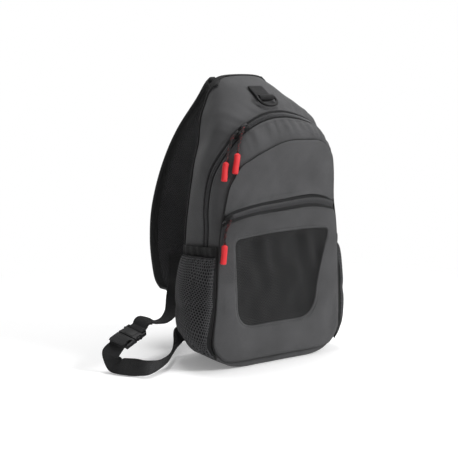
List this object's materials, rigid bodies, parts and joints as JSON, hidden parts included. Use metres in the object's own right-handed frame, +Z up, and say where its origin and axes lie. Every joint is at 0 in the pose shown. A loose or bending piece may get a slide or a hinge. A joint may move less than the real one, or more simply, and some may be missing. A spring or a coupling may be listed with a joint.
{
  "type": "tackle sling bag",
  "caption": "Upright sling bag with a padded strap, arched main zip, front pocket with a net window, net side pockets and buckled webbing.",
  "frame": {"origin": "middle of the flat base, on the floor", "axes": "+Z up, the front of the bag towards -Y, the bag's left side pocket towards -X"},
  "size_m": [0.3737, 0.2178, 0.409],
  "materials": {
    "grey_cloth": "matt coated polyester, fine plain weave",
    "dark_cloth": "matt lining cloth",
    "black_cloth": "woven polyester tape and webbing",
    "black_net": "knitted polyester net",
    "black_plastic": "moulded acetal, satin",
    "red_rubber": "soft moulded grip, satin"
  },
  "bodies": {
    "bag": {"body_shell": "grey_cloth", "main_zip": "black_cloth", "back_panel": "black_cloth", "pocket_divider": "dark_cloth", "pocket_front_upper": "grey_cloth", "pocket_zip": "black_cloth", "pocket_front_lower": "grey_cloth", "window_net": "black_net", "side_net_left": "black_net", "side_band_left": "black_cloth", "side_net_right": "black_net", "side_band_right": "black_cloth", "shoulder_strap": "black_net", "strap_binding_left": "black_cloth", "strap_binding_right": "black_cloth", "zip_slider_upper": "black_plastic", "zip_slider_lower": "black_plastic", "pocket_zip_slider": "black_plastic", "pull_cord_upper": "black_cloth", "pull_grip_upper": "red_rubber", "pull_cord_lower": "black_cloth", "pull_grip_lower": "red_rubber", "pull_cord_pocket": "black_cloth", "pull_grip_pocket": "red_rubber", "d_ring_tab": "black_cloth", "buckle_female": "black_plastic", "buckle_male": "black_plastic", "webbing_upper": "black_cloth", "webbing_lower": "black_cloth", "corner_tab": "black_cloth"},
    "ring": {"d_ring": "black_plastic"}
  },
  "joints": [
    {"name": "d_ring_hinge", "type": "hinge", "parent": "bag", "child": "ring", "pos_m": [0.00235, -0.01881, 0.3788], "axis": [-1, 0, 0], "range_deg": [0, 150]}
  ]
}
